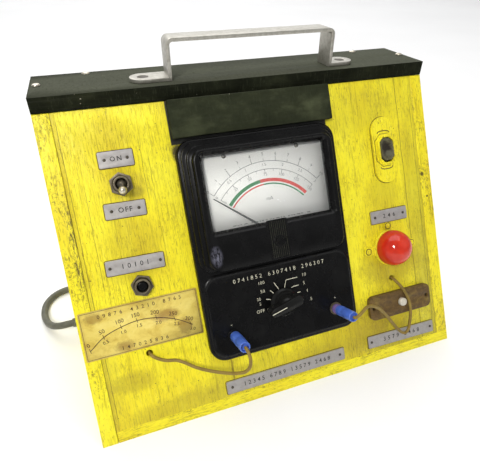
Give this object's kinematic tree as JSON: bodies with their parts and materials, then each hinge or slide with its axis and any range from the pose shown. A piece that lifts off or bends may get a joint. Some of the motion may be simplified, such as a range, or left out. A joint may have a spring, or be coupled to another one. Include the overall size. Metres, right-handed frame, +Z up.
{
  "type": "car battery charger",
  "caption": "Home-made wooden bench tester in a sloping yellow case with black lid, strap handle, large panel meter, switches, lamp and mains cord.",
  "frame": {"origin": "middle of the footprint of the case, panel fittings included and cord left out, at the bottom of the base board", "axes": "+X towards the right when facing the sloping front, +Y from the front to the vertical back panel, +Z up"},
  "size_m": [0.3717, 0.2899, 0.2591],
  "materials": {
    "yellow_paint_on_wood": "worn yellow gloss paint, vertical grain showing",
    "yellow_paint_on_steel": "worn yellow gloss paint",
    "black_paint_on_wood": "matte black paint, chipped and flecked",
    "black_moulding": "semi-gloss moulded black",
    "clear_glass": "clear flat glass",
    "dial_card": "white enamel dial",
    "magnet_iron": "dark iron",
    "plated_steel": "dull plated steel",
    "dark_steel": "darkened steel",
    "brown_phenolic": "mottled brown laminate",
    "tan_insulation": "tan flexible insulation",
    "blue_plug": "cornflower blue moulding",
    "amber_lens": "orange-red glossy dome",
    "bulb_glass": "clear lamp glass",
    "label_metal": "satin stamped plate",
    "aged_paper": "aged yellow paper",
    "handle_metal": "worn satin aluminium",
    "grey_rubber": "dull dark grey-olive",
    "cream_plastic": "creamy white moulding",
    "cream_lever": "worn bright metal bat",
    "laminations": "varnished steel laminations",
    "winding": "varnished winding"
  },
  "bodies": {
    "case": {"front_panel": "yellow_paint_on_wood", "meter_top_block": "black_paint_on_wood", "meter_front": "black_moulding", "meter_rear_case": "black_moulding", "meter_window": "clear_glass", "meter_dial": "dial_card", "meter_magnet": "magnet_iron", "selector_switch": "brown_phenolic", "jack_left": "plated_steel", "test_plug_left": "blue_plug", "jack_right": "plated_steel", "test_plug_right": "blue_plug", "test_lead_left": "tan_insulation", "test_lead_right": "tan_insulation", "toggle_switch": "plated_steel", "toggle_nut": "plated_steel", "reverse_switch": "plated_steel", "reverse_nut": "plated_steel", "rocker_strap": "yellow_paint_on_steel", "rocker_switch": "brown_phenolic", "lamp_ring": "yellow_paint_on_steel", "lamp_lens": "amber_lens", "lamp_bulb": "bulb_glass", "lamp_socket": "brown_phenolic", "push_plate": "brown_phenolic", "push_contacts": "brown_phenolic", "plate_on": "label_metal", "plate_off": "label_metal", "plate_reverse": "label_metal", "plate_lamp": "label_metal", "plate_push": "label_metal", "plate_long": "label_metal", "paper_scale": "aged_paper", "left_side_board": "yellow_paint_on_wood", "right_side_board": "yellow_paint_on_wood", "bottom_board": "yellow_paint_on_wood", "back_panel": "yellow_paint_on_wood", "lid": "black_paint_on_wood", "lid_screw_left": "plated_steel", "lid_screw_right": "plated_steel", "carry_handle": "handle_metal", "handle_screw_left": "dark_steel", "handle_screw_right": "dark_steel", "strain_relief": "grey_rubber", "mains_cord": "grey_rubber", "mains_cord_coil": "grey_rubber", "cord_tie": "black_moulding", "mains_cord_tail": "grey_rubber", "mains_plug": "grey_rubber", "transformer_core": "laminations", "transformer_winding": "winding", "terminal_strip": "brown_phenolic"},
    "toggle": {"toggle_lever": "cream_lever"},
    "reverse_push": {"reverse_button": "plated_steel"},
    "selector": {"selector_knob": "black_moulding"},
    "needle": {"meter_needle": "black_moulding"},
    "zero_screw": {"zero_adjust_screw": "black_moulding"},
    "rocker": {"rocker_paddle": "black_moulding"},
    "push": {"push_button": "cream_plastic"}
  },
  "joints": [
    {"name": "toggle_throw", "type": "hinge", "parent": "case", "child": "toggle", "pos_m": [-0.1115, 0.00868, 0.17033], "axis": [-1, 0, 0], "range_deg": [0, 46]},
    {"name": "reverse_press", "type": "slide", "parent": "case", "child": "reverse_push", "axis": [0, 0.8712, -0.4909], "range_m": [0, 0.0022], "stiffness_N_per_m": 900, "springref_m": -0.001},
    {"name": "selector_turn", "type": "hinge", "parent": "case", "child": "selector", "pos_m": [-0.0017, -0.05025, 0.07085], "axis": [0, 0.8712, -0.4909], "range_deg": [0, 198]},
    {"name": "needle_swing", "type": "hinge", "parent": "case", "child": "needle", "pos_m": [-0.0017, -0.0224, 0.1223], "axis": [0, 0.8712, -0.4909], "range_deg": [0, 104], "stiffness_Nm_per_rad": 0.004, "springref_deg": -34.38},
    {"name": "zero_adjust", "type": "hinge", "parent": "case", "child": "zero_screw", "pos_m": [-0.0017, -0.03473, 0.12282], "axis": [0, -0.8712, 0.4909], "range_deg": [-15, 15]},
    {"name": "rocker_tilt", "type": "hinge", "parent": "case", "child": "rocker", "pos_m": [0.115, 0.00908, 0.16391], "axis": [1, 0, 0], "range_deg": [0, 10]},
    {"name": "push_press", "type": "slide", "parent": "case", "child": "push", "axis": [0, 0.8712, -0.4909], "range_m": [0, 0.002], "stiffness_N_per_m": 900, "springref_m": -0.001}
  ]
}
